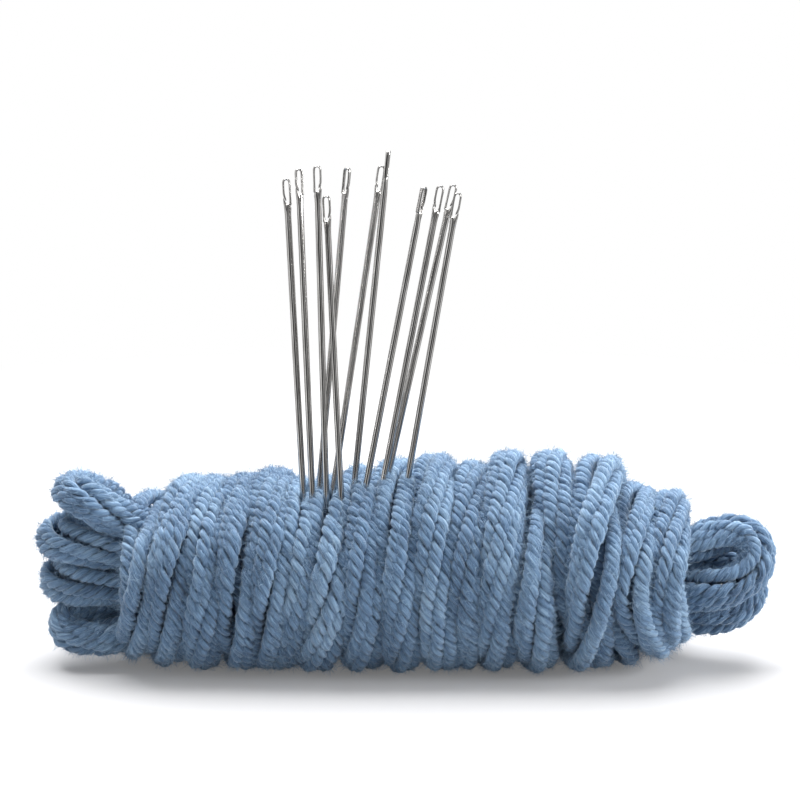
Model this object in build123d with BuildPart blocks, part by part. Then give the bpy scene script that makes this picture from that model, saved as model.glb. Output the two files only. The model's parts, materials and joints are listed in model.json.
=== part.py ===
"""A hank of thick yarn holding a fan of eleven side-threading needles.

The hank lies along X on the ground plane, its middle at the origin, with +Z up and the side that is seen
at -Y. Every needle stands point down in the hank and is drawn out of it along its own length.
"""
import os
from math import pi, sqrt

from build123d import *

# Needle: a steel wire with a blunt point and a flattened head
needle_length = 60.0
shank_radius = 0.475
point_radius = 0.2
point_swell = 0.36
point_length = 9.0
head_length = 6.4
head_width = 1.25
head_thickness = 0.8
head_chamfer = 0.2
neck_width = 0.8
neck_length = 1.9
fade_length = 0.6
crown_radius = 0.6

# Side-threading eye: the slit leaves the foot of the eye and slants up and out through one wall
eye_width = 0.69
eye_top_wall = 0.34
eye_length = 3.75
eye_foot_width = 0.3
hook_length = 1.45
slit_width = 0.17
slit_rise = 1.25
slit_run = 0.95

# Yarn, as a faceted cord
yarn_diameter = 4.5
yarn_facets = 5
flat_depth = yarn_diameter / 10

# Winding: turns wrapped round the loops, fuller in the middle than at the ends
half_turns = 33
turn_pitch = 5.0
middle_radius = 12.9
end_radius = 10.7
barrel_power = 4

# Start of the winding: a bend on top of the loops' left ends, with its own end tucked under the first turn
tucked_reach = 38.2
tucked_offset = 1.2
tucked_height = 20.8
first_bend_radius = 4.6
first_reach = 51.8
first_height = 24.9

# Loops: three loops on top of each other, drawn in where the winding holds them
row_heights = (6.7, 11.7, 16.7)
column_spacing = 5.0
bundle_offset = 1.0
waist_half_length = 39.0
hidden_end_reach = 37.0
left_bend_radius = 4.6
left_reach = 51.9
left_row_heights = (7.3, 13.1, 19.2)
right_bend_radius = 4.5
right_reach = 51.9
right_front_height = 17.2
right_back_height = 11.3
right_spread = 3.0

# Needles in the hank: the point's place as shares of the needle's length, the lean to the right and away
# from the viewer, and the turn of the slit from the right-hand side, all three in degrees
needle_shares = [
    (-0.2463, -0.1047, 0.2327, -2.74, 4.63, 180),
    (-0.2265, -0.1188, 0.2580, -2.08, 4.71, 205),
    (-0.1953, -0.1107, 0.2702, -1.12, -0.53, 0),
    (-0.1505, -0.1280, 0.1970, -2.52, 1.62, 0),
    (-0.2358, -0.0783, 0.2612, 5.27, 2.74, -35),
    (-0.2110, -0.0892, 0.2728, 8.66, 6.55, 180),
    (-0.1467, -0.0768, 0.3100, 5.90, -1.64, 90),
    (-0.1470, -0.1012, 0.2332, 10.94, 1.51, 50),
    (-0.1060, -0.1077, 0.2340, 10.90, 3.26, 180),
    (-0.1033, -0.0802, 0.2388, 12.65, 4.14, 0),
    (-0.0443, -0.0837, 0.2128, 9.78, 1.48, 0),
]
needle_clearance = 0.1
channel_sides = 6
channel_start = 1.5
channel_end = 26.0


def biarc(p0, t0, p1, t1):
    """Two arcs that leave p0 along t0, meet smoothly, and reach p1 along t1."""
    t0, t1, v = t0.normalized(), t1.normalized(), p1 - p0
    a = 2 * (1 - t0.dot(t1))
    b = v.dot(t0 + t1)
    if a * v.dot(v) < b * b / 1e9:
        reach = v.dot(v) / (2 * b)
    else:
        reach = (sqrt(b * b + a * v.dot(v)) - b) / a
    c0, c1 = p0 + t0 * reach, p1 - t1 * reach
    joint = (c0 + c1) * 0.5
    return [(p0, t0, joint), (joint, (c1 - c0).normalized(), p1)]


def through_points(stations):
    """Arcs and straight runs through (point, direction) stations."""
    route = []
    for (p0, t0), (p1, t1) in zip(stations, stations[1:]):
        run = (p1 - p0).normalized()
        if run.dot(t0.normalized()) + run.dot(t1.normalized()) > 2 - 1e-9:
            route.append((p0, None, p1))
            continue
        route.extend(biarc(p0, t0, p1, t1))
    return route


def draw(route):
    """Lay a route's runs and arcs end to end in the line that is being built."""
    for start, leave, end in route:
        if leave is None:
            Line(start, end)
            continue
        chord = (end - start).normalized()
        ahead = min(1, chord.dot(leave))
        if ahead > 1 - 1e-9:
            Line(start, end)
            continue
        side = (leave - chord * ahead).normalized()
        rise = (end - start).length / 2 * sqrt((1 - ahead) / (1 + ahead))
        ThreePointArc(start, (start + end) * 0.5 + side * rise, end)


def least_gap(line, diameter):
    """Least distance between the faces of two stretches of one tube, measured on points of its line."""
    count = int(line.length * 2 / diameter)
    points = [line.position_at(i / count) for i in range(count + 1)]
    apart = 6
    return min(
        (points[i] - points[j]).length
        for i in range(count + 1)
        for j in range(i + apart, count + 1)
    ) - diameter


def tightest(route):
    """Smallest radius among a route's arcs."""
    radii = []
    for start, leave, end in route:
        if leave is not None:
            chord = end - start
            turn = sqrt(max(0, 1 - chord.normalized().dot(leave) ** 2))
            if turn > 1e-6:
                radii.append(chord.length / (2 * turn))
    return min(radii)


left, right = Vector(-1, 0, 0), Vector(1, 0, 0)
front, back = Vector(0, -1, 0), Vector(0, 1, 0)
up, down = Vector(0, 0, 1), Vector(0, 0, -1)

# Stations of the winding: halfway down the back at its left end, then two to a turn from under the hank
bottom_centre = yarn_diameter / 2 - flat_depth
start = Vector(-(half_turns + 1) * turn_pitch / 4, end_radius, bottom_centre + end_radius)
winding_stations = [(start, down)]
for half in range(half_turns + 1):
    along = half / half_turns * 2 - 1
    radius = middle_radius - (middle_radius - end_radius) * along ** barrel_power
    upward = 1 if half % 2 else -1
    place = Vector(along * half_turns * turn_pitch / 4, 0, bottom_centre + radius * (1 + upward))
    heading = Vector(turn_pitch / 2, upward * radius * pi, 0)
    winding_stations.append((place, heading))
winding_route = through_points(winding_stations)

# Stations of the winding's first bend: up from its start, round the left, and under the first turn
first_centre = first_reach - first_bend_radius
first_diagonal = first_bend_radius / sqrt(2)
first_bend_route = through_points([
    (start, up),
    (Vector(-first_centre - first_diagonal, first_diagonal, first_height), front + left),
    (Vector(-first_reach, 0, first_height), front),
    (Vector(-first_centre, -first_bend_radius, first_height), right),
    (Vector(-tucked_reach, -tucked_offset, tucked_height), right),
])

# Stations of the loops: out of the hidden end at the back of the top row, then row by row downwards
front_column = bundle_offset - column_spacing / 2
back_column = bundle_offset + column_spacing / 2
low, middle, high = row_heights
left_low, left_middle, left_high = left_row_heights


def waist(side, column, row):
    return Vector(side * waist_half_length, column, row)


def left_bend(row, spread_row, first_column, last_column, turn):
    """Loop end at the left: a level half turn from one column to the other."""
    reach = left_reach - left_bend_radius
    return [
        (waist(-1, first_column, row), left),
        (Vector(-reach, -turn * left_bend_radius, spread_row), left),
        (Vector(-left_reach, 0, spread_row), Vector(0, turn, 0)),
        (Vector(-reach, turn * left_bend_radius, spread_row), right),
        (waist(-1, last_column, row), right),
    ]


def right_bend(column, spread_column, centre_height, first_row, last_row):
    """Loop end at the right: an upright half turn from one row down to the next."""
    reach = right_reach - right_bend_radius
    return [
        (waist(1, column, first_row), right),
        (Vector(reach, spread_column, centre_height + right_bend_radius), right),
        (Vector(right_reach, spread_column, centre_height), down),
        (Vector(reach, spread_column, centre_height - right_bend_radius), left),
        (waist(1, column, last_row), left),
    ]


loop_stations = [(Vector(hidden_end_reach, back_column, high), left)]
loop_stations += left_bend(high, left_high, back_column, front_column, -1)
loop_stations += right_bend(front_column, -right_spread, right_front_height, high, middle)
loop_stations += left_bend(middle, left_middle, front_column, back_column, 1)
loop_stations += right_bend(back_column, right_spread, right_back_height, middle, low)
loop_stations += left_bend(low, left_low, back_column, front_column, -1)
loop_stations += [(Vector(hidden_end_reach, front_column, low), right)]
loop_route = through_points(loop_stations)

# Seat of every needle: its point, its direction and the side on which the slit opens
seats = []
for x_share, y_share, z_share, lean_right, lean_back, slit_turn in needle_shares:
    tip = Vector(x_share, y_share, z_share) * needle_length
    upright = Plane(origin=tip)
    leaning = Plane(upright.location * Location((0, 0, 0), (-lean_back, lean_right, 0)))
    seats.append(Plane(leaning.location * Location((0, 0, 0), (0, 0, slit_turn))))

os.makedirs("parts", exist_ok=True)

head_foot = needle_length - head_length
crown_centre = needle_length - crown_radius
eye_top = needle_length - eye_top_wall
eye_foot = eye_top - eye_length
for number, seat in enumerate(seats, start=1):
    profile = Plane(origin=seat.origin, x_dir=seat.x_dir, z_dir=-seat.y_dir)
    with BuildPart() as needle:
        # Round shank and tapered blunt point
        with BuildSketch(profile):
            with BuildLine():
                Line((0, 0), (point_radius, 0))
                Spline((point_radius, 0), (point_swell, point_length / 3), (shank_radius, point_length))
                Line((shank_radius, point_length), (shank_radius, head_foot + fade_length))
                Line((shank_radius, head_foot + fade_length), (0, head_foot + fade_length))
                Line((0, head_foot + fade_length), (0, 0))
            make_face()
        revolve(axis=Axis(seat.origin, seat.z_dir))
        # Flattened head, flaring from inside the shank to the eye's full width
        with BuildSketch(profile) as outline:
            with BuildLine():
                Line((-neck_width / 2, head_foot), (neck_width / 2, head_foot))
                Line((neck_width / 2, head_foot), (head_width / 2, head_foot + neck_length))
                Line((head_width / 2, head_foot + neck_length), (head_width / 2, crown_centre))
                ThreePointArc(
                    (head_width / 2, crown_centre),
                    (0, needle_length),
                    (-head_width / 2, crown_centre),
                )
                Line((-head_width / 2, crown_centre), (-head_width / 2, head_foot + neck_length))
                Line((-head_width / 2, head_foot + neck_length), (-neck_width / 2, head_foot))
            make_face()
        head = extrude(amount=head_thickness / 2, both=True, mode=Mode.PRIVATE)
        rims = head.faces().sort_by(Axis(seat.origin, seat.y_dir))
        head = head.chamfer(head_chamfer, None, rims[0].edges() + rims[-1].edges())
        add(head)
        # Eye: a long opening whose foot is drawn towards the plain wall
        with BuildSketch(profile):
            with BuildLine():
                Line((-eye_width / 2, eye_foot), (eye_foot_width - eye_width / 2, eye_foot))
                Line((eye_foot_width - eye_width / 2, eye_foot), (eye_width / 2, eye_foot + hook_length))
                Line((eye_width / 2, eye_foot + hook_length), (eye_width / 2, eye_top - eye_width / 2))
                ThreePointArc(
                    (eye_width / 2, eye_top - eye_width / 2),
                    (0, eye_top),
                    (-eye_width / 2, eye_top - eye_width / 2),
                )
                Line((-eye_width / 2, eye_top - eye_width / 2), (-eye_width / 2, eye_foot))
            make_face()
        extrude(amount=head_thickness, both=True, mode=Mode.SUBTRACT)
        # Slit: it parts the hooked end of the wall from the prong of the shank
        with BuildSketch(profile):
            with BuildLine():
                Polyline(
                    (-eye_width / 2, eye_foot + slit_width / 2),
                    (-eye_width / 2, eye_foot - slit_width),
                    (-eye_width / 2 + slit_width, eye_foot - slit_width),
                    (slit_run, eye_foot - slit_width + slit_rise),
                    (slit_run, eye_foot + slit_width + slit_rise),
                    (-eye_width / 2 + slit_width, eye_foot + slit_width / 2),
                    close=True,
                )
            make_face()
        extrude(amount=head_thickness, both=True, mode=Mode.SUBTRACT)
    needle.part.label = f"needle_{number:02d}"
    export_step(needle.part, f"parts/needle_{number:02d}.step")

# Loops of the hank
with BuildPart() as hank_loops:
    with BuildLine() as loop_line:
        draw(loop_route)
    with BuildSketch(Plane(origin=loop_line.line @ 0, x_dir=back, z_dir=loop_line.line % 0)):
        RegularPolygon(yarn_diameter / 2, yarn_facets)
    sweep(path=loop_line.wire())
hank_loops.part.label = "hank_loops"
export_step(hank_loops.part, "parts/hank_loops.step")

# Winding, cut flat where it rests and pierced where the needles stand
with BuildPart() as hank_winding:
    with BuildLine() as winding_line:
        draw(winding_route)
    with BuildLine() as first_bend_line:
        draw(first_bend_route)
    with BuildSketch(Plane(origin=start, x_dir=right, z_dir=down)) as yarn_profile:
        RegularPolygon(yarn_diameter / 2, yarn_facets)
    sweep(path=winding_line.wire())
    sweep(yarn_profile.sketch, path=first_bend_line.wire())
    # Both ends run straight for one thickness of the yarn
    for end in faces().filter_by(GeomType.PLANE):
        extrude(end, amount=yarn_diameter)
    split(bisect_by=Plane.XY, keep=Keep.TOP)
    for seat in seats:
        with BuildSketch(seat.offset(channel_start)):
            RegularPolygon(shank_radius + needle_clearance, channel_sides, major_radius=False)
        extrude(amount=channel_end - channel_start, mode=Mode.SUBTRACT)
hank_winding.part.label = "hank_winding"
export_step(hank_winding.part, "parts/hank_winding.step")

for name, line, route in (
    ("loops", loop_line.wire(), loop_route),
    ("winding", winding_line.wire(), winding_route),
    ("first bend", first_bend_line.wire(), first_bend_route),
):
    print(f"{name}: length {line.length:.1f}, least gap {least_gap(line, yarn_diameter):.2f},"
          f" tightest radius {tightest(route):.2f}")
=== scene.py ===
import json
from collections import namedtuple
from math import pi, radians

import bpy
import numpy as np
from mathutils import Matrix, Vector


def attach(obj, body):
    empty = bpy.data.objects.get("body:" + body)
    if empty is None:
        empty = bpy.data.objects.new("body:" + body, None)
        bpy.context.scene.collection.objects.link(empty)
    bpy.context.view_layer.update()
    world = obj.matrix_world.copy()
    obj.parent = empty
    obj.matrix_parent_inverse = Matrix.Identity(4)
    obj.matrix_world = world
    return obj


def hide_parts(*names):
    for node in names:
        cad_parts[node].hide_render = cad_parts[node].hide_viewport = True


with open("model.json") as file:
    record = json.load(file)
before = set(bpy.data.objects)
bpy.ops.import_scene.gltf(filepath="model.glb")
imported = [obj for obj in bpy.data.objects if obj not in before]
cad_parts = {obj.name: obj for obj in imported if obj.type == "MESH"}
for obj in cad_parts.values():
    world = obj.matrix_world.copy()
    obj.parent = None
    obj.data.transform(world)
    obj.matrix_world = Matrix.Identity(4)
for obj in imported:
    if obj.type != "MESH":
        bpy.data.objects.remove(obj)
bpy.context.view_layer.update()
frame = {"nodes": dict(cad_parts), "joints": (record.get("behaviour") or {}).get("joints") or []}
rng = np.random.default_rng(11)
MM = 0.001
white = (1, 1, 1, 1)


def add_object(name, data):
    """A new object of the scene that shows this data."""
    obj = bpy.data.objects.new(name, data)
    bpy.context.scene.collection.objects.link(obj)
    return obj


# Short ways to make shader nodes
def feed(tree, node, inputs):
    """Give a node its inputs, by name or by place: a socket is linked, a number or colour is set."""
    for key, value in inputs.items():
        if isinstance(value, bpy.types.NodeSocket):
            tree.links.new(value, node.inputs[key])
        else:
            node.inputs[key].default_value = value


def add_node(tree, kind, inputs=None, **settings):
    """A new shader node with its settings and inputs."""
    node = tree.nodes.new("ShaderNode" + kind)
    for name, value in settings.items():
        setattr(node, name, value)
    feed(tree, node, inputs or {})
    return node


def math_node(tree, operation, *values):
    """Result of a math node."""
    return add_node(tree, "Math", dict(enumerate(values)), operation=operation).outputs[0]


def map_range(tree, value, from_min, from_max, to_min, to_max):
    """Result of a map range node."""
    ends = {"From Min": from_min, "From Max": from_max, "To Min": to_min, "To Max": to_max}
    return add_node(tree, "MapRange", {"Value": value, **ends}).outputs["Result"]


def mixed(tree, share, first, second):
    """Result of a mix shader node, in which the second shader has this share."""
    return add_node(tree, "MixShader", {"Fac": share, 1: first, 2: second}).outputs[0]


def colour_ramp(tree, value, stops):
    """Colour of a ramp whose stops are (position, colour), lowest first."""
    node = add_node(tree, "ValToRGB", {"Fac": value})
    elements = node.color_ramp.elements
    elements[0].position, elements[1].position = stops[0][0], stops[-1][0]
    for position, _ in stops[1:-1]:
        elements.new(position)
    for element, (_, colour) in zip(elements, stops):
        element.color = (*colour, 1)
    return node.outputs["Color"]


def streaks(tree, uv_layer, stretch, scale, roughness):
    """Noise drawn out along the first direction of a UV layer."""
    uv = add_node(tree, "UVMap", uv_map=uv_layer).outputs["UV"]
    place = add_node(tree, "Mapping", {"Vector": uv, "Scale": stretch}).outputs["Vector"]
    inputs = {"Vector": place, "Scale": scale, "Detail": 5, "Roughness": roughness}
    return add_node(tree, "TexNoise", inputs).outputs["Fac"]


def bumped(tree, height, strength, distance):
    """Normal of a bump node."""
    inputs = {"Height": height, "Strength": strength, "Distance": distance}
    return add_node(tree, "Bump", inputs).outputs["Normal"]


def new_material(name):
    """A new material, with its node tree and its principled shader."""
    material = bpy.data.materials.new(name)
    material.use_nodes = True
    return material, material.node_tree, material.node_tree.nodes["Principled BSDF"]


# Camera: what it looks at, how far away it is and how steeply it looks down
target = Vector((-0.98, 0.0, 40.2)) * MM
away = 333.33 * MM
lift = radians(12)
eye = target + Vector((0, -np.cos(lift), np.sin(lift))) * away
camera_data = bpy.data.cameras.new("camera")
camera_data.lens = 100
camera_data.sensor_width = 36
camera_data.clip_start = 0.01
camera = add_object("camera", camera_data)
camera.location = eye
camera.rotation_euler = (target - eye).to_track_quat("-Z", "Y").to_euler()
bpy.context.scene.camera = camera
bpy.context.scene.view_settings.view_transform = "Standard"

# Lamps: name, place and width in millimetres, and power in watts
lamps = [
    ("key_above", (-40, 190, 500), 560, 9.9),
    ("front_fill", (-260, -500, 300), 420, 0.15),
    ("side_fill", (480, -120, 200), 260, 2.8),
]
lamps_aim = Vector((0, 0, 15))


def area_light(name, place, size, power):
    """A soft square lamp that is turned towards the hank."""
    data = bpy.data.lights.new(name, "AREA")
    data.shape = "SQUARE"
    data.size = size * MM
    data.energy = power
    lamp = add_object(name, data)
    lamp.location = Vector(place) * MM
    lamp.rotation_euler = (lamps_aim - Vector(place)).to_track_quat("-Z", "Y").to_euler()


for lamp_row in lamps:
    area_light(*lamp_row)

# Grey screens round the object, which only mirrors see: how many times each wave of dark and light goes
# round and where it starts, and the tones that the waves' sum stands for
screen_waves = [(2.0, 1.57), (5.0, 2.1)]
screen_sums = (-1.0, 1.1)
screen_tones = (0.02, 1.0)

# Strength of the world's light on the object
soft_light = 0.36

# Floor: its colour, its half width, the distances (in metres) between which the camera sees it fade to
# white, and how white it already looks nearer than that
floor_colour = (0.50, 0.50, 0.51, 1)
floor_half = 4.0
fade_distances = (0.07, 0.25)
least_white = 0.14


def screens_round(tree, direction):
    """Tone of the screen that stands in a direction."""
    split = add_node(tree, "SeparateXYZ", {0: direction})
    turn = math_node(tree, "ARCTAN2", split.outputs["Y"], split.outputs["X"])
    waves = [
        math_node(tree, "SINE", math_node(tree, "MULTIPLY_ADD", turn, count, phase))
        for count, phase in screen_waves
    ]
    return map_range(tree, math_node(tree, "ADD", *waves), *screen_sums, *screen_tones)


def studio_world():
    """World that is white to the camera, shows mirrors the screens and gives the rest soft light."""
    world = bpy.data.worlds.new("studio")
    bpy.context.scene.world = world
    world.use_nodes = True
    tree = world.node_tree
    tree.nodes.clear()
    path = add_node(tree, "LightPath")
    direction = add_node(tree, "TexCoord").outputs["Generated"]
    soft = add_node(tree, "Background", {"Color": white, "Strength": soft_light})
    screens = add_node(tree, "Background", {"Color": screens_round(tree, direction)})
    plain = add_node(tree, "Background", {"Color": white, "Strength": 1.0})
    lit = mixed(tree, path.outputs["Is Glossy Ray"], soft.outputs[0], screens.outputs[0])
    seen = math_node(tree, "MAXIMUM", path.outputs["Is Camera Ray"], path.outputs["Is Transmission Ray"])
    add_node(tree, "OutputWorld", {"Surface": mixed(tree, seen, lit, plain.outputs[0])})


def pale_floor():
    """Floor that keeps the object's shadow and fades to white further out."""
    material, tree, shader = new_material("pale_floor")
    feed(tree, shader, {"Base Color": floor_colour, "Roughness": 0.9, "Specular IOR Level": 0.1})
    path = add_node(tree, "LightPath")
    place = add_node(tree, "TexCoord").outputs["Object"]
    far = add_node(tree, "VectorMath", {0: place}, operation="LENGTH").outputs["Value"]
    fade = map_range(tree, far, *fade_distances, least_white, 1.0)
    seen = math_node(tree, "MULTIPLY", path.outputs["Is Camera Ray"], fade)
    glowing = math_node(tree, "MAXIMUM", seen, path.outputs["Is Glossy Ray"])
    # In mirrors the floor takes the tones of the screens that stand on it
    less = math_node(tree, "SUBTRACT", screens_round(tree, place), 1.0)
    strength = math_node(tree, "MULTIPLY_ADD", path.outputs["Is Glossy Ray"], less, 1.0)
    glow = add_node(tree, "Emission", {"Color": white, "Strength": strength})
    surface = mixed(tree, glowing, shader.outputs[0], glow.outputs[0])
    feed(tree, tree.nodes["Material Output"], {"Surface": surface})
    mesh = bpy.data.meshes.new("floor")
    corners = [(x * floor_half, y * floor_half, 0) for x, y in [(-1, -1), (1, -1), (1, 1), (-1, 1)]]
    mesh.from_pydata(corners, [], [(0, 1, 2, 3)])
    mesh.materials.append(material)
    return add_object("floor", mesh)


studio_world()
floor = pale_floor()

# The yarn's route, in millimetres
# One row for each time the yarn comes up the front of the winding: where it leaves the underside, where it
# is at the middle of the front and where it goes over the top (x), the height over the top and at the
# shoulder before it (z), how far it stands out at the front and at its foot, and how thick it lies
Pass = namedtuple("Pass", "foot_x front_x top_x top_z shoulder_z front_out foot_out girth")
passes = [Pass(*row) for row in [
    (-40.5, -38.9, -39.2, 22.4, 20.4, 11.2, 10.6, 1.04),
    (-36.0, -35.0, -33.2, 25.2, 23.2, 12.2, 11.8, 1.06),
    (-30.6, -29.8, -29.6, 24.9, 23.2, 12.4, 12.6, 1.04),
    (-24.5, -24.9, -24.7, 25.4, 23.6, 13.0, 13.0, 1.04),
    (-20.4, -20.1, -20.3, 26.2, 24.8, 13.1, 13.0, 1.04),
    (-18.0, -15.8, -16.6, 24.4, 24.4, 12.9, 11.8, 1.06),
    (-13.6, -11.4, -11.9, 24.8, 25.0, 13.3, 13.6, 1.08),
    (-6.6, -6.3, -7.0, 26.0, 25.4, 13.5, 13.4, 1.10),
    (-0.8, -1.3, -1.9, 27.5, 25.8, 13.5, 13.5, 1.08),
    (5.8, 3.4, 4.2, 28.7, 26.2, 13.4, 13.5, 1.04),
    (9.6, 8.2, 9.9, 27.2, 24.8, 13.2, 12.2, 1.04),
    (13.6, 13.1, 15.2, 29.0, 26.2, 13.4, 13.2, 1.04),
    (19.8, 18.2, 17.5, 25.0, 23.6, 13.6, 13.8, 1.10),
    (32.7, 23.8, 21.6, 28.9, 25.6, 10.9, 11.2, 1.10),
    (27.0, 26.9, 29.0, 28.5, 26.0, 14.0, 13.0, 1.14),
    (38.0, 32.4, 34.6, 24.0, 22.4, 12.8, 12.2, 1.04),
    (40.0, 37.6, 39.8, 23.5, 21.4, 11.6, 10.8, 1.02),
]]

# Height of the middle of a turn, and of the yarn's line where a turn lies on the floor
middle_height = 15.0
foot_height = 2.7

# The ends of the hank stand a little off what it lies on: how far out that begins, and how steeply
lifted_from = 33.0
left_lift_share = 0.2
right_lift_share = 0.45

# Shape of a turn seen along the hank: share of the way out at the front or the back, and share of the way
# up (or down) from the middle, for every thirty degrees from the underside round by the front
turn_shape = [
    (0.0, -1.0), (-0.58, -0.98), (-0.93, -0.62), (-1.03, -0.06), (-0.93, 0.50), (-0.54, 1.0),
    (0.0, 1.03), (0.54, 0.90), (0.93, 0.50), (1.03, -0.06), (0.93, -0.62), (0.58, -0.98),
]
# The spline passes inside its control points by this share, so they are set further out
spread_out = 1 / 0.966

# Steps of a turn at which a pass has its foot, front, shoulder and top, the steps that take their reach from
# the feet, and those past the top that go over to the next turn's height
turn_steps = len(turn_shape)
foot_step, front_step, shoulder_step, top_step = 1, 3, 5, 6
steps_near_foot = (0, 1, 2, 11)
steps_past_top = (7, 8)

# The bend on top of the loops at the left and the way from there down the back to the first foot, and the
# last turn's tucked end
first_bend = [
    (-33.0, -1.0, 20.0), (-38.2, -1.8, 20.6), (-42.6, -4.0, 22.4), (-46.4, -5.2, 25.2), (-49.6, -4.4, 26.6),
    (-50.8, -0.4, 26.4), (-49.4, 4.2, 25.4), (-46.4, 7.4, 22.8), (-44.4, 10.4, 18.4), (-43.0, 11.4, 12.6),
    (-42.2, 10.0, 6.4), (-41.6, 5.8, 3.2),
]
last_end = [(40.6, 5.6, 21.8), (39.8, 8.4, 18.2), (38.0, 8.4, 14.6), (35.0, 7.0, 12.4)]


def blend_along(points, at):
    """Value at a place along a list of (place, value) knots, straight between them."""
    return float(np.interp(at, [p for p, _ in points], [v for _, v in points]))


def winding_points():
    """Control points of the winding, worked out from the passes, as far as the last one's top."""
    across, tops, fronts, feet = [], [], [], []
    for k, row in enumerate(passes):
        turn = k * turn_steps
        across += [(turn + foot_step, row.foot_x), (turn + front_step, row.front_x)]
        across.append((turn + top_step, row.top_x))
        tops.append((turn + top_step, row.top_z))
        fronts.append((turn + front_step, row.front_out))
        feet.append((turn + foot_step, row.foot_out))
    result = list(first_bend)
    for step in range((len(passes) - 1) * turn_steps + top_step + 1):
        part = step % turn_steps
        out_share, up_share = turn_shape[part]
        reach = blend_along(feet if part in steps_near_foot else fronts, step)
        x = blend_along(across, step)
        if part == shoulder_step:
            rise = passes[step // turn_steps].shoulder_z - middle_height
        elif up_share > 0:
            nearest_top = round((step - top_step) / turn_steps) * turn_steps + top_step
            rise = blend_along(tops, step if part in steps_past_top else nearest_top) - middle_height
        else:
            lift_share = right_lift_share if x > 0 else left_lift_share
            rise = middle_height - foot_height - lift_share * max(0, abs(x) - lifted_from)
        result.append((x, out_share * reach * spread_out, middle_height + up_share * rise * spread_out))
    return result + last_end


loop_points = [
    (37.0, 3.5, 17.0), (20.0, 3.6, 17.2), (0.0, 3.4, 16.6), (-22.0, 3.5, 16.8), (-38.0, 3.6, 17.0),
    (-43.5, 4.8, 18.6), (-48.8, 5.2, 19.6), (-53.0, 3.0, 19.4), (-53.4, -1.8, 19.2), (-50.0, -4.8, 19.0),
    (-44.0, -4.6, 18.2), (-38.0, -1.8, 17.2), (-22.0, -1.5, 16.9), (0.0, -1.5, 16.6), (22.0, -1.6, 16.6),
    (38.0, -1.6, 17.0), (43.5, -2.4, 18.6), (48.0, -2.4, 20.4), (51.8, -3.0, 20.0), (52.8, -4.6, 16.8),
    (50.6, -6.0, 13.8), (46.0, -6.2, 12.0), (41.0, -3.8, 11.2), (37.0, -1.6, 11.6), (22.0, -1.5, 11.7),
    (0.0, -1.5, 11.6), (-22.0, -1.5, 11.8), (-38.0, -1.7, 12.2), (-43.5, -4.6, 12.8), (-49.2, -5.2, 12.6),
    (-53.2, -2.6, 12.6), (-53.2, 2.4, 12.8), (-49.0, 5.2, 13.2), (-43.5, 4.4, 13.0), (-38.0, 3.5, 12.2),
    (-22.0, 3.5, 11.7), (0.0, 3.5, 11.7), (22.0, 3.5, 11.7), (38.0, 3.6, 12.6), (44.0, 3.4, 14.6),
    (49.4, 2.0, 14.6), (53.0, 0.6, 12.2), (52.4, -0.8, 8.6), (47.8, -1.6, 6.8), (42.5, 0.6, 6.2),
    (37.0, 3.5, 6.7), (22.0, 3.5, 6.7), (0.0, 3.5, 6.7), (-22.0, 3.5, 6.8), (-38.0, 3.6, 7.4),
    (-43.5, 0.2, 7.4), (-48.0, -1.6, 7.9), (-51.8, -3.0, 7.2), (-51.4, -4.8, 5.2), (-47.2, -5.6, 4.8),
    (-43.0, -5.4, 5.0), (-38.5, -3.0, 6.0), (-30.0, -1.5, 6.7), (0.0, -1.5, 6.7), (20.0, -1.5, 6.7),
    (37.0, -1.5, 6.7),
]


def route_line(name, points_mm, spacing_mm):
    """Smooth line of a route: a NURBS spline through its control points, read back at even spacing."""
    curve = bpy.data.curves.new(name, "CURVE")
    curve.dimensions = "3D"
    spline = curve.splines.new("NURBS")
    spline.points.add(len(points_mm) - 1)
    for point, place in zip(spline.points, points_mm):
        point.co = (*[c * MM for c in place], 1)
    spline.order_u = 3
    spline.use_endpoint_u = True
    spline.resolution_u = 16
    holder = add_object(name, curve)
    bpy.context.view_layer.update()
    mesh = bpy.data.meshes.new_from_object(holder)
    line = np.array([v.co[:] for v in mesh.vertices])
    bpy.data.objects.remove(holder)
    bpy.data.curves.remove(curve)
    bpy.data.meshes.remove(mesh)
    along = np.concatenate([[0], np.cumsum(np.linalg.norm(np.diff(line, axis=0), axis=1))])
    count = int(along[-1] / (spacing_mm * MM))
    even = np.linspace(0, along[-1], count + 1)
    line = np.stack([np.interp(even, along, line[:, i]) for i in range(3)], axis=1)
    return line, even


# Yarn: strands wound round its line and plies wound round the strands, in millimetres
line_spacing = 0.40
strand_count = 8
strand_offset = 1.76
strand_lead = 66.0
strand_wobble = 0.35
ply_count = 3
ply_offset = 0.53
ply_lead = 3.5
ply_wobble = 0.3
ply_turn_on = 0.13
ply_radius = 0.52
ply_sides = 6
offset_wave, offset_change = 6, 0.08
thickness_wave, thickness_change = 1.3, 0.13
end_taper, end_least = 1.5, 0.02

# How flat the yarn lies on the hank: its width along the hank and through it, as shares of a round one's
flat_across = 1.17
flat_through = 1.0

# Spread of the tones of strands, plies and fibres, and of the places on the streaks that they start from
strand_tones, ply_tones = 0.3, 0.25
# Fibres are toned lighter than the plies on the whole, and stray fibres lighter still: a painted highlight of
# the light that the fuzz scatters
fibre_tone, fibre_tones, stray_painted_highlight = 0.5, 0.8, 0.5
uv_spread = 977.0

# Fibres: how many to a millimetre, how far below their yarn's line they are left out, how far they lean
# away from the hank, their spread round a ply, how far out of its middle they start as shares of its
# radius, and what share of them is stray, which means that it stands off its ply
fibres = 360
hidden_depth = 0.9
outward_lean = 0.8
round_ply = 0.75
start_shares = (0.92, 1.05)
stray_share = 0.60

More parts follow.
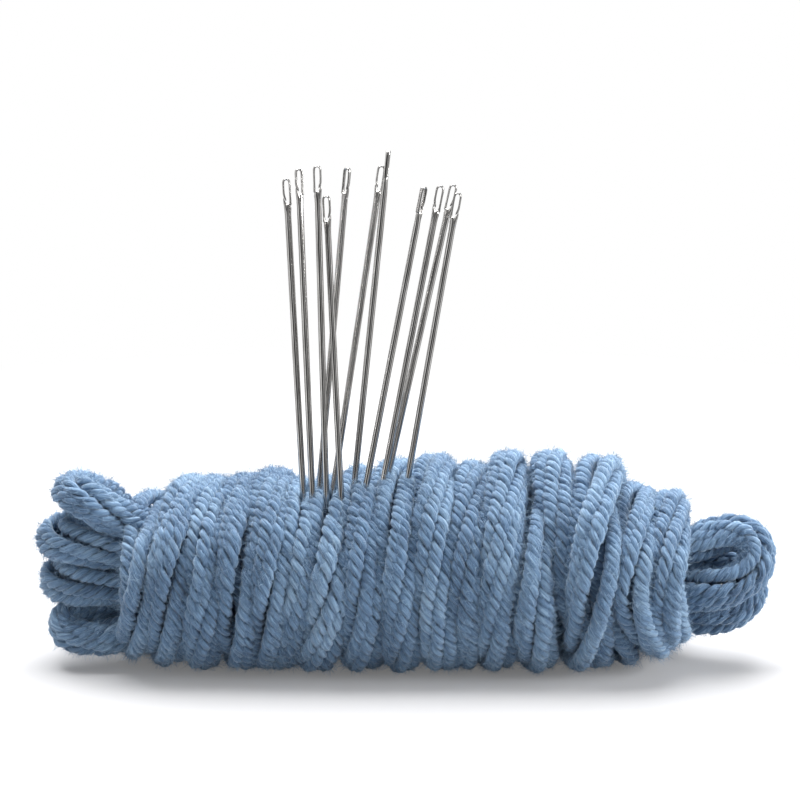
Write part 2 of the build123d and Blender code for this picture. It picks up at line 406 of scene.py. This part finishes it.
# A stray and a lying fibre's length, tilt off its ply, spread of its direction, bend and half width, then
# what all have: the spread of their bends and of their ribbons' tilts, and the taper of their width
stray_length, lying_length = (0.5, 1.7), (0.4, 1.2)
stray_tilt, lying_tilt = (0.4, 1.5), (0.0, 0.10)
stray_skew, lying_skew = 0.9, 0.30
stray_bend, lying_bend = 0.10, 0.35
stray_half, lying_half = (0.014, 0.028), (0.018, 0.036)
bend_change = 0.30
ribbon_tilt = 0.5
fibre_taper = np.array([0.7, 1.0, 0.2])

# The yarn is parted round each needle: how far from its axis the nearest yarn is pushed, how far out that
# reaches, and how far ahead of its point it begins
parted_inner, parted_outer, parted_ahead = 0.62, 2.6, 2.5

# Yarn below the first height is pressed flat to this share of its depth, and stays above the second height
pressed_below, pressed_share, least_height = 0.5, 0.16, 0.02

# A yarn's line, the distance along it at every point, its thickness there as a share of the usual one, the
# direction away from the hank, and how likely a fibre is there
Route = namedtuple("Route", "line even girth outward shown")


def unit(v):
    """Vectors of the same directions, one long."""
    return v / np.maximum(np.linalg.norm(v, axis=-1, keepdims=True), 1e-12)


def frames(line):
    """Tangents and two sideways directions along a line, carried along without twist."""
    tangent = unit(np.gradient(line, axis=0))
    first = np.zeros_like(line)
    start = np.cross(tangent[0], [0.0, 0.3, 1.0])
    first[0] = start / np.linalg.norm(start)
    for i in range(1, len(line)):
        v = first[i - 1] - tangent[i] * np.dot(first[i - 1], tangent[i])
        first[i] = v / np.linalg.norm(v)
    return tangent, first, np.cross(tangent, first)


def slow_noise(count, spacing, wave, size):
    """Smooth random values along a line, one to a step, with bumps about one wave long."""
    knots = max(4, int(count * spacing / wave) + 3)
    values = rng.normal(0, size, knots)
    at = np.linspace(0, knots - 1, count)
    low = np.floor(at).astype(int).clip(0, knots - 2)
    share = at - low
    share = share * share * (3 - 2 * share)
    return values[low] * (1 - share) + values[low + 1] * share


def wound(line, even, offset_mm, lead_mm, phase, wobble):
    """A line wound round another, this far from it and with one full twist in each lead."""
    _, first, second = frames(line)
    step = even[1] / MM
    angle = phase + even / MM * 2 * pi / lead_mm + slow_noise(len(line), step, lead_mm / 2, wobble)
    reach = offset_mm * MM * (1 + slow_noise(len(line), step, offset_wave, offset_change))
    return line + (np.cos(angle)[:, None] * first + np.sin(angle)[:, None] * second) * reach[:, None]


def clear_of_needles(points):
    """Part the yarn round every needle, as if the point had been pushed in between its fibres."""
    inner, outer, ahead = parted_inner * MM, parted_outer * MM, parted_ahead * MM
    for foot, (_, _, tip_to_eye) in needle_seats.values():
        rel = points - foot
        up = rel @ tip_to_eye
        side = rel - up[:, None] * tip_to_eye
        far = np.linalg.norm(side, axis=1)
        near = (far < outer) & (up > -ahead)
        fade = np.clip((up[near] + ahead) / ahead, 0, 1)
        pushed = inner + far[near] * (outer - inner) / outer
        wanted = far[near] + (pushed - far[near]) * fade
        points[near] = points[near] + side[near] * ((wanted / np.maximum(far[near], 1e-7)) - 1)[:, None]
    return points


def rest_on_floor(points):
    """Press what would sink into the floor flat on it."""
    low = points[:, 2] < pressed_below * MM
    points[low, 2] = pressed_below * MM + (points[low, 2] - pressed_below * MM) * pressed_share
    points[:, 2] = np.maximum(points[:, 2], least_height * MM)
    return points


def fitted(points, route):
    """Points round a route's line, swelled to its girth and lying a little flat on the hank."""
    across_hank = unit(np.cross(unit(np.gradient(route.line, axis=0)), route.outward))
    off = (points - route.line) * route.girth[:, None]
    lift_part = np.sum(off * route.outward, axis=1, keepdims=True)
    side_part = np.sum(off * across_hank, axis=1, keepdims=True)
    off = (off + route.outward * lift_part * (flat_through - 1)
           + across_hank * side_part * (flat_across - 1))
    return route.line + off


def ply_lines(route, phase):
    """Line and tone of every ply of the yarn."""
    plies = []
    for s in range(strand_count):
        turned = phase + 2 * pi * s / strand_count
        strand = wound(route.line, route.even, strand_offset, strand_lead, turned, strand_wobble)
        strand_tone = rng.normal(0, strand_tones)
        for p in range(ply_count):
            turned = 2 * pi * (p / ply_count + ply_turn_on * s)
            ply = wound(strand, route.even, ply_offset, -ply_lead, turned, ply_wobble)
            plies.append((fitted(ply, route), strand_tone + rng.normal(0, ply_tones)))
    return plies


def ply_tube(ply, ply_tone, route):
    """Surface of a ply: points, faces, place along and round it, and tone."""
    _, first, second = frames(ply)
    count = len(ply)
    around = np.linspace(0, 2 * pi, ply_sides, endpoint=False)
    ends = np.minimum(route.even, route.even[-1] - route.even) / MM
    close = np.sqrt(np.clip(ends / end_taper, end_least, 1))
    uneven = 1 + slow_noise(count, route.even[1] / MM, thickness_wave, thickness_change)
    size = ply_radius * MM * uneven * close * route.girth
    ring = (np.cos(around)[None, :, None] * first[:, None, :]
            + np.sin(around)[None, :, None] * second[:, None, :])
    points = (ply[:, None, :] + ring * size[:, None, None]).reshape(-1, 3)
    i = np.arange(count - 1)[:, None] * ply_sides
    j = np.arange(ply_sides)[None, :]
    k = (j + 1) % ply_sides
    quads = np.stack([i + j, i + k, i + k + ply_sides, i + j + ply_sides], axis=-1).reshape(-1, 4)
    along = np.repeat(route.even / MM, ply_sides) + uv_spread * rng.random()
    uv = np.stack([along, np.tile(around / (2 * pi), count)], axis=1)
    return points, quads, uv, np.full(len(points), ply_tone)


def fibre_ribbons(plies, route, fibres_per_mm):
    """Fibres, each a narrow ribbon of two short pieces: points, faces, place on the streaks, and tone."""
    line, even, girth, outward, shown = route
    wanted = int(even[-1] / MM * fibres_per_mm)
    which = rng.integers(0, len(plies), wanted)
    place = rng.integers(4, len(line) - 5, wanted)
    stacked = np.stack([p for p, _ in plies])
    centre = stacked[which, place]
    outside = np.sum((centre - line[place]) * outward[place], axis=1) > -hidden_depth * MM
    keep = outside & (rng.random(wanted) < shown[place])
    which, place, centre = which[keep], place[keep], centre[keep]
    count = len(which)
    ahead = unit(stacked[which, place + 1] - stacked[which, place - 1])
    out = centre - line[place] + outward[place] * outward_lean * MM
    out = unit(out - ahead * np.sum(out * ahead, axis=1, keepdims=True))
    side = np.cross(ahead, out)
    swing = rng.normal(0, round_ply, count)[:, None]
    out = unit(out * np.cos(swing) + side * np.sin(swing))
    side = np.cross(ahead, out)
    stray = rng.random(count) < stray_share
    length = np.where(stray, rng.uniform(*stray_length, count), rng.uniform(*lying_length, count)) * MM
    tilt = np.where(stray, rng.uniform(*stray_tilt, count), rng.uniform(*lying_tilt, count))
    skew = np.where(stray, rng.normal(0, stray_skew, count), rng.normal(0, lying_skew, count))
    sense = np.where(rng.random(count) < 0.5, 1, -1)[:, None]
    heading = unit(ahead * np.cos(skew)[:, None] * sense + side * np.sin(skew)[:, None] + out * tilt[:, None])
    start = centre + out * (ply_radius * MM * girth[place] * rng.uniform(*start_shares, count))[:, None]
    bend = rng.normal(0, bend_change, (count, 3)) - out * np.where(stray, stray_bend, lying_bend)[:, None]
    middle = start + heading * (length / 2)[:, None]
    finish = middle + unit(heading + bend) * (length / 2)[:, None]
    nodes = np.stack([start, middle, finish], axis=1)
    across = unit(np.cross(heading, out + rng.normal(0, ribbon_tilt, (count, 3))))
    wide = np.where(stray, rng.uniform(*stray_half, count), rng.uniform(*lying_half, count)) * MM
    half = across[:, None, :] * wide[:, None, None] * fibre_taper[None, :, None]
    points = np.stack([nodes - half, nodes + half], axis=2).reshape(-1, 3)
    per_fibre = 2 * len(fibre_taper)
    corner = np.arange(count)[:, None, None] * per_fibre + np.arange(2)[None, :, None] * 2
    quads = (corner + np.array([0, 1, 3, 2])[None, None, :]).reshape(-1, 4)
    # Stray fibres are toned lighter still: painted highlight
    lighter = np.where(stray, stray_painted_highlight, 0.0)
    tone = np.repeat(rng.normal(fibre_tone, fibre_tones, count) + lighter, per_fibre)
    along = np.repeat(rng.random(count) * uv_spread, per_fibre)
    uv = np.stack([along, np.repeat(rng.random(count), per_fibre)], axis=1)
    return points, quads, uv, tone


def joined(parts):
    """Parts of a mesh as one, their arrays end to end and each part's faces counted on."""
    points, quads, uv, tone = zip(*parts)
    starts = np.cumsum([0] + [len(p) for p in points[:-1]])
    counted_on = [q + start for q, start in zip(quads, starts)]
    return [np.concatenate(arrays) for arrays in (points, counted_on, uv, tone)]


def yarn_mesh(name, route, material, fibres_per_mm, phase):
    """The yarn along a route: strands of twisted plies, with fibres lying on them and standing off them."""
    plies = ply_lines(route, phase)
    tubes = [ply_tube(ply, ply_tone, route) for ply, ply_tone in plies]
    points, faces, coords, tone = joined(tubes + [fibre_ribbons(plies, route, fibres_per_mm)])
    points = rest_on_floor(clear_of_needles(points))
    mesh = bpy.data.meshes.new(name)
    mesh.vertices.add(len(points))
    mesh.vertices.foreach_set("co", points.astype(np.float32).ravel())
    mesh.loops.add(faces.size)
    mesh.loops.foreach_set("vertex_index", faces.astype(np.int32).ravel())
    mesh.polygons.add(len(faces))
    mesh.polygons.foreach_set("loop_start", np.arange(0, faces.size, 4, dtype=np.int32))
    mesh.polygons.foreach_set("use_smooth", np.ones(len(faces), dtype=bool))
    mesh.update(calc_edges=True)
    layer = mesh.uv_layers.new(name="along_ply")
    layer.data.foreach_set("uv", coords[faces.ravel()].astype(np.float32).ravel())
    attribute = mesh.attributes.new("tone", "FLOAT", "POINT")
    attribute.data.foreach_set("value", tone.astype(np.float32))
    mesh.materials.append(material)
    return add_object(name, mesh)


# The yarn's colours by tone, and how much a ply's own tone and a cloudy noise change the streaks' tone
yarn_colours = [
    (0.42, (0.036, 0.068, 0.128)), (0.68, (0.119, 0.210, 0.338)), (0.95, (0.330, 0.465, 0.600)),
]
own_tone_share, cloud_share = 0.10, 0.35


def yarn_material():
    """Brushed, slightly hairy yarn: streaks along each ply, cloudy colour, soft sheen."""
    material, tree, shader = new_material("bulky_yarn")
    streak = streaks(tree, "along_ply", (0.28, 9.0, 1.0), 1.6, 0.65)
    place = add_node(tree, "TexCoord").outputs["Object"]
    cloud = add_node(tree, "TexNoise", {"Vector": place, "Scale": 110, "Detail": 3}).outputs["Fac"]
    own_tone = add_node(tree, "Attribute", attribute_name="tone").outputs["Fac"]
    tone = math_node(tree, "MULTIPLY_ADD", own_tone, own_tone_share, streak)
    tone = math_node(tree, "MULTIPLY_ADD", cloud, cloud_share, tone)
    feed(tree, shader, {
        "Base Color": colour_ramp(tree, tone, yarn_colours),
        "Roughness": 0.82,
        "Specular IOR Level": 0.22,
        "Sheen Weight": 0.45,
        "Sheen Roughness": 0.5,
        "Sheen Tint": (0.80, 0.88, 0.96, 1),
        "Normal": bumped(tree, streak, 0.6, 0.0002),
    })
    return material


# Where a CAD needle's tip, head and slit are looked for, in millimetres: heights above its point, and how
# far out of its middle the slit's wall is
tip_height = 0.02
head_from = 55.5
slit_from = 56.0
slit_to = 57.6
wall_from = 0.5


def seat_of(node, towards_eye):
    """A needle's point, and its directions to the slit's side, square to that, and to the eye."""
    corners = np.array([v.co[:] for v in frame["nodes"][node].data.vertices])
    along = corners @ towards_eye
    tip = corners[along < along.min() + tip_height * MM].mean(axis=0)
    height = along - along.min()
    side = corners - tip
    side = side - (side @ towards_eye)[:, None] * towards_eye
    head = side[height > head_from * MM]
    wide = np.linalg.eigh(head.T @ head)[1][:, 2]
    reach = side @ wide
    slit = (height > slit_from * MM) & (height < slit_to * MM) & (np.abs(reach) > wall_from * MM)
    wide = wide * np.sign(reach[slit].sum())
    return tip, np.stack([wide, np.cross(towards_eye, wide), towards_eye])


needle_seats = {}
for joint in frame["joints"]:
    direction = np.array(joint["axis"])
    needle_seats[joint["child"]] = seat_of(joint["child"], direction / np.linalg.norm(direction))

yarn_mat = yarn_material()
wind_line, wind_even = route_line("winding_route", winding_points(), line_spacing)
loop_line, loop_even = route_line("loop_route", loop_points, line_spacing)

# Thickness along the winding, read off the passes in the order in which the line goes by them
front_places = []
for row in passes:
    front = np.array([row.front_x, -row.front_out, middle_height]) * MM
    front_places.append((np.argmin(np.linalg.norm(wind_line - front, axis=1)), row.girth))
front_places.sort()
wind_girth = np.interp(np.arange(len(wind_line)), [p for p, _ in front_places], [g for _, g in front_places])

# Away from the hank is away from its long axis, and past these x also away from the bends' inside
wind_bend_from = -43.0
wind_out = wind_line - np.array([0, 0, middle_height * MM])
wind_out[:, 0] = np.minimum(wind_line[:, 0] - wind_bend_from * MM, 0)
loops_middle = np.array([0, 1.0, 12.5])
loop_bend_from = 44.0
loop_out = loop_line - loops_middle * MM
loop_out[:, 0] = np.sign(loop_line[:, 0]) * np.maximum(np.abs(loop_line[:, 0]) - loop_bend_from * MM, 0)

# The loops' runs are hidden inside the winding, so they have fibres past this x alone
loop_girth = np.full(len(loop_line), 1.03)
loop_fibres_from = 36.0
loop_shown = (np.abs(loop_line[:, 0]) > loop_fibres_from * MM).astype(float)

wind_route = Route(wind_line, wind_even, wind_girth, unit(wind_out), np.ones(len(wind_line)))
winding = yarn_mesh("winding_yarn", wind_route, yarn_mat, fibres, 0.0)
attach(winding, "hank")
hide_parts("hank_winding")
loop_route = Route(loop_line, loop_even, loop_girth, unit(loop_out), loop_shown)
loops = yarn_mesh("loops_yarn", loop_route, yarn_mat, fibres, 0.8)
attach(loops, "hank")
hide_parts("hank_loops")

# Needles: heights above the point and half widths, in millimetres
needle_length = 60.0
crown_depth = 0.34
eye_length = 3.75
shank_half = 0.475
taper_height = 9.0
shank_spacing = 1.5
wall_out = 0.465
ring_sides = 20


def ring_sweep(stations):
    """Rings along a needle's own plane: (x, z, lean of the run, half width in the plane, half thickness)."""
    around = np.linspace(0, 2 * pi, ring_sides, endpoint=False)
    rings = []
    for x, z, lean, wide, thick in stations:
        across, along = np.cos(lean), -np.sin(lean)
        rings.append(np.stack([
            x + across * wide * np.cos(around), thick * np.sin(around), z + along * wide * np.cos(around),
        ], axis=1))
    return np.concatenate(rings)


def smooth_path(points, steps):
    """Even, rounded-off stations between listed ones (x, z, half width, half thickness)."""
    points = np.array(points, float)
    at = np.concatenate([[0], np.cumsum(np.hypot(*np.diff(points[:, :2], axis=0).T))])
    even = np.linspace(0, at[-1], steps)
    line = np.stack([np.interp(even, at, points[:, i]) for i in range(4)], axis=1)
    for _ in range(3):
        line[1:-1] = (line[:-2] + 2 * line[1:-1] + line[2:]) / 4
    run = np.gradient(line[:, :2], axis=0)
    lean = np.arctan2(run[:, 0], run[:, 1])
    return [(x, z, angle, wide, thick) for (x, z, wide, thick), angle in zip(line, lean)]


def needle_stations():
    """The runs of a needle: shank to the plain wall, wall over the crown to the hook, and prong."""
    top = needle_length - crown_depth
    foot = top - eye_length
    point = [
        (0, 0.0, 0.02, 0.02), (0, 0.05, 0.12, 0.12), (0, 0.2, 0.2, 0.2), (0, 3.0, 0.36, 0.36),
        (0, taper_height, shank_half, shank_half),
    ]
    shank = [(0, taper_height + shank_spacing * i, shank_half, shank_half) for i in range(1, 30)]
    neck = [
        (0, 53.6, shank_half, shank_half), (0, 54.4, 0.47, 0.44), (0.0, 55.1, 0.50, 0.40),
        (-0.02, 55.6, 0.54, 0.38),
    ]
    neck_to_wall = [(-0.08, foot - 0.05, 0.46, 0.36), (-0.30, foot + 0.35, 0.26, 0.34)]
    body = [(x, z, 0.0, wide, thick) for x, z, wide, thick in point + shank + neck]
    body += [(x, z, -0.35, wide, thick) for x, z, wide, thick in neck_to_wall]
    wall = [
        (-0.44, foot + 0.2, 0.20, 0.32), (-wall_out, foot + 0.8, 0.15, 0.31),
        (-wall_out, foot + 1.6, 0.14, 0.30), (-wall_out, foot + 2.4, 0.14, 0.30),
        (-wall_out, top - 0.55, 0.15, 0.31),
    ]
    crown = [
        (wall_out * np.cos(a), top - 0.33 + 0.52 * np.sin(a), 0.155, 0.32)
        for a in np.linspace(pi * 0.9, pi * 0.1, 9)
    ]
    hook = [
        (wall_out, top - 0.55, 0.15, 0.31), (wall_out, foot + 2.6, 0.14, 0.30),
        (wall_out, foot + 1.9, 0.15, 0.30), (wall_out - 0.05, foot + 1.45, 0.16, 0.29),
        (wall_out - 0.16, foot + 1.1, 0.15, 0.27),
        (wall_out - 0.29, foot + 0.82, 0.09, 0.18), (wall_out - 0.33, foot + 0.74, 0.02, 0.03),
    ]
    prong = [
        (0.14, 55.2, 0.34, 0.37), (0.22, foot - 0.1, 0.32, 0.36), (0.33, foot + 0.25, 0.24, 0.33),
        (0.43, foot + 0.6, 0.16, 0.27), (0.52, foot + 0.95, 0.08, 0.18), (0.57, foot + 1.2, 0.02, 0.04),
    ]
    return [body, smooth_path(wall + crown + hook, 74), smooth_path(prong, 20)]


def needle_mesh(name, tip, axes, material):
    """A needle as drawn wire: round shank, flattened head, side-threading eye, all edges rounded."""
    verts, faces, uvs = [], [], []
    base = 0
    for stations in needle_stations():
        local = ring_sweep(stations)
        count = len(stations)
        verts.append(tip + local @ axes * MM)
        for i in range(count - 1):
            for j in range(ring_sides):
                k = (j + 1) % ring_sides
                a = base + i * ring_sides
                faces.append((a + j, a + k, a + ring_sides + k, a + ring_sides + j))
        faces.append(tuple(base + j for j in range(ring_sides))[::-1])
        faces.append(tuple(base + (count - 1) * ring_sides + j for j in range(ring_sides)))
        uvs.append(np.stack([local[:, 2], np.tile(np.arange(ring_sides) / ring_sides, count)], axis=1))
        base += len(local)
    mesh = bpy.data.meshes.new(name)
    mesh.from_pydata([tuple(v) for v in np.concatenate(verts)], [], faces)
    mesh.polygons.foreach_set("use_smooth", [True] * len(mesh.polygons))
    coords = np.concatenate(uvs)
    corners = np.zeros(len(mesh.loops), dtype=np.int32)
    mesh.loops.foreach_get("vertex_index", corners)
    mesh.uv_layers.new(name="along_needle").data.foreach_set("uv", coords[corners].astype(np.float32).ravel())
    mesh.materials.append(material)
    return add_object(name, mesh)


def steel_material():
    """Polished steel with fine drawing marks along the needle, whose dark and light streaks in the colour
    also paint reflection lines along the shaft.
    """
    material, tree, shader = new_material("polished_steel")
    marks_and_painted_lines = streaks(tree, "along_needle", (0.10, 9.0, 1.0), 2.2, 0.6)
    feed(tree, shader, {
        "Metallic": 1.0,
        # The base colour's streaks are drawing marks, and also painted dark and light reflection lines along
        # the shaft
        "Base Color": colour_ramp(tree, marks_and_painted_lines, [(0.35, (0.30, 0.29, 0.28)), (0.68, (0.80, 0.79, 0.78))]),
        "Roughness": map_range(tree, marks_and_painted_lines, 0.0, 1.0, 0.06, 0.17),
        "Normal": bumped(tree, marks_and_painted_lines, 0.25, 0.00003),
    })
    return material


steel = steel_material()
for node, (tip, axes) in needle_seats.items():
    wire = needle_mesh(f"drawn_{node}", tip, axes, steel)
    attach(wire, node)
    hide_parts(node)
